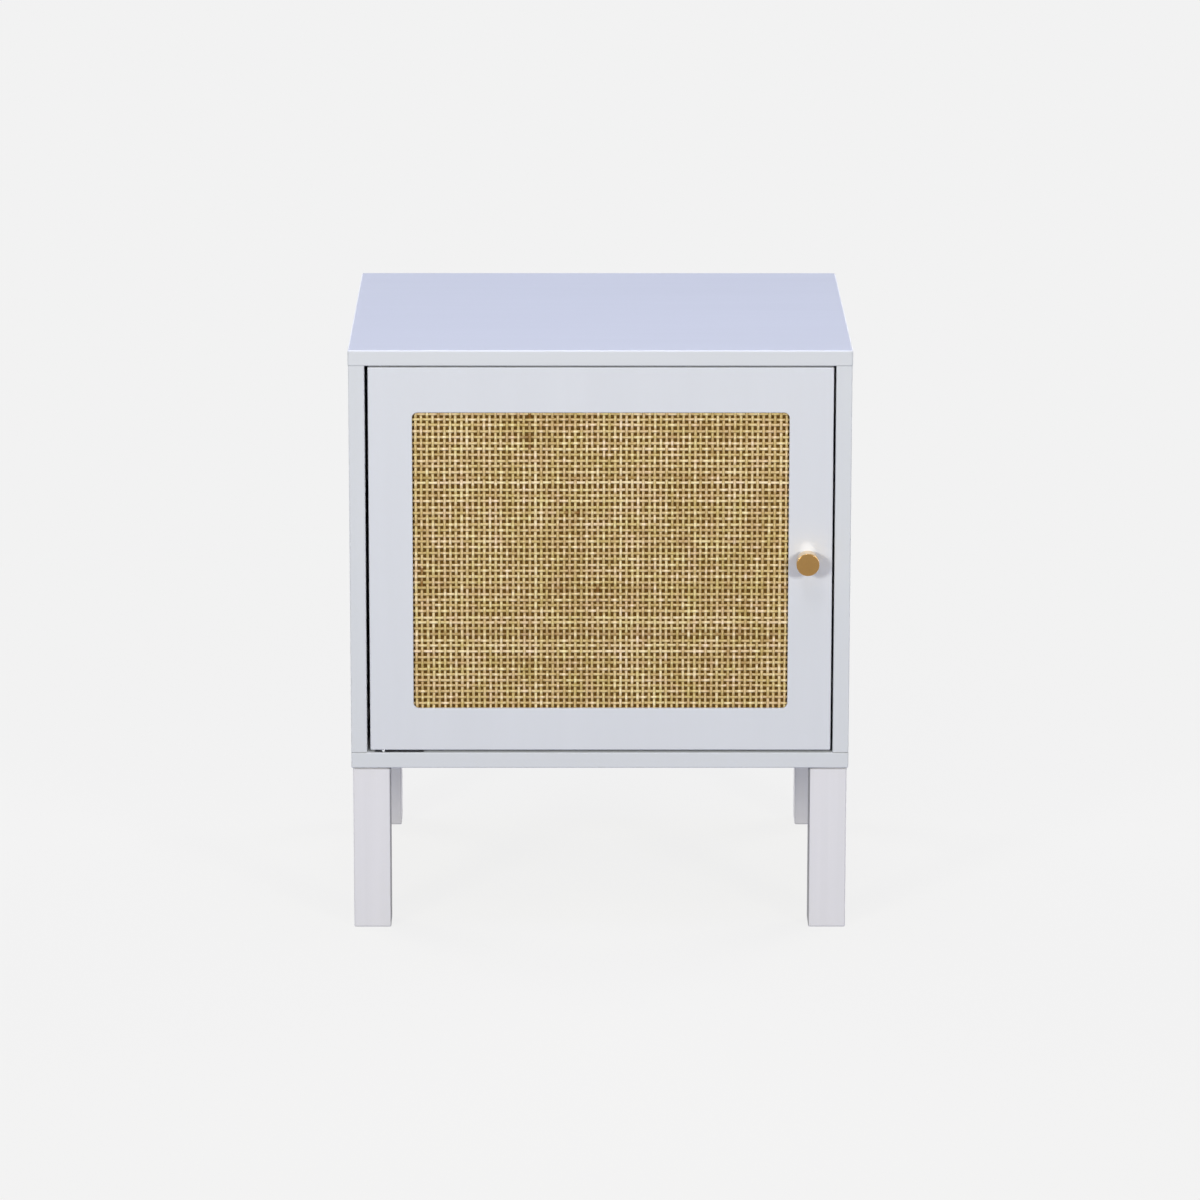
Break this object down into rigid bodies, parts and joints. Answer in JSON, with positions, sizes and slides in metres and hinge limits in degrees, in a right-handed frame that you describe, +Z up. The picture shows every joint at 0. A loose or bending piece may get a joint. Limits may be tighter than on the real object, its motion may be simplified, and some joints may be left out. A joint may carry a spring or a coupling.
{
  "type": "nightstand",
  "caption": "White nightstand on square legs with an inset woven-cane door that swings on concealed pivots, a round gold knob and an inner shelf.",
  "frame": {"origin": "on the floor, under the middle of the box that holds the whole nightstand with its knob", "axes": "+X to the right of someone facing the door, +Y to the back, +Z up"},
  "size_m": [0.47, 0.42, 0.558],
  "materials": {
    "white_paint": "satin white paint on board",
    "woven_cane": "natural woven cane, low sheen",
    "brown_board": "smooth brown hardboard",
    "dowel_wood": "fluted bare hardwood",
    "satin_gold": "satin",
    "zinc_steel": "bright zinc plate",
    "white_plastic": "moulded, fine matt",
    "dark_magnet": "sintered, dull"
  },
  "bodies": {
    "cabinet": {"bottom_panel": "white_paint", "front_left_leg": "white_paint", "front_right_leg": "white_paint", "rear_left_leg": "white_paint", "rear_right_leg": "white_paint", "left_side_panel": "white_paint", "right_side_panel": "white_paint", "back_panel": "white_paint", "top_panel": "white_paint", "shelf": "white_paint", "leg_inserts": "zinc_steel", "leg_bolts": "zinc_steel", "cam_bolts": "zinc_steel", "cam_locks": "zinc_steel", "lower_pivot_plate": "zinc_steel", "lower_pivot_pin": "zinc_steel", "upper_pivot_plate": "zinc_steel", "upper_pivot_pin": "zinc_steel", "pivot_plate_screws": "zinc_steel", "catch_screws": "zinc_steel", "shelf_supports": "zinc_steel", "leg_dowels": "dowel_wood", "panel_dowels": "dowel_wood", "cam_covers": "white_plastic", "lower_thrust_disc": "white_plastic", "catch_housing": "white_plastic", "catch_magnet": "dark_magnet"},
    "door": {"door_frame": "white_paint", "retaining_bead_top": "white_paint", "retaining_bead_bottom": "white_paint", "retaining_bead_left": "white_paint", "retaining_bead_right": "white_paint", "cane_panel": "woven_cane", "cane_backing": "brown_board", "lower_pivot_bush": "white_plastic", "upper_pivot_bush": "white_plastic", "knob": "satin_gold", "bead_pins": "zinc_steel", "knob_screw": "zinc_steel", "strike_plate": "zinc_steel", "strike_screw": "zinc_steel"}
  },
  "joints": [
    {"name": "door_hinge", "type": "hinge", "parent": "cabinet", "child": "door", "pos_m": [-0.2044, -0.1825, 0.35785], "axis": [0, 0, -1], "range_deg": [0, 110]}
  ]
}
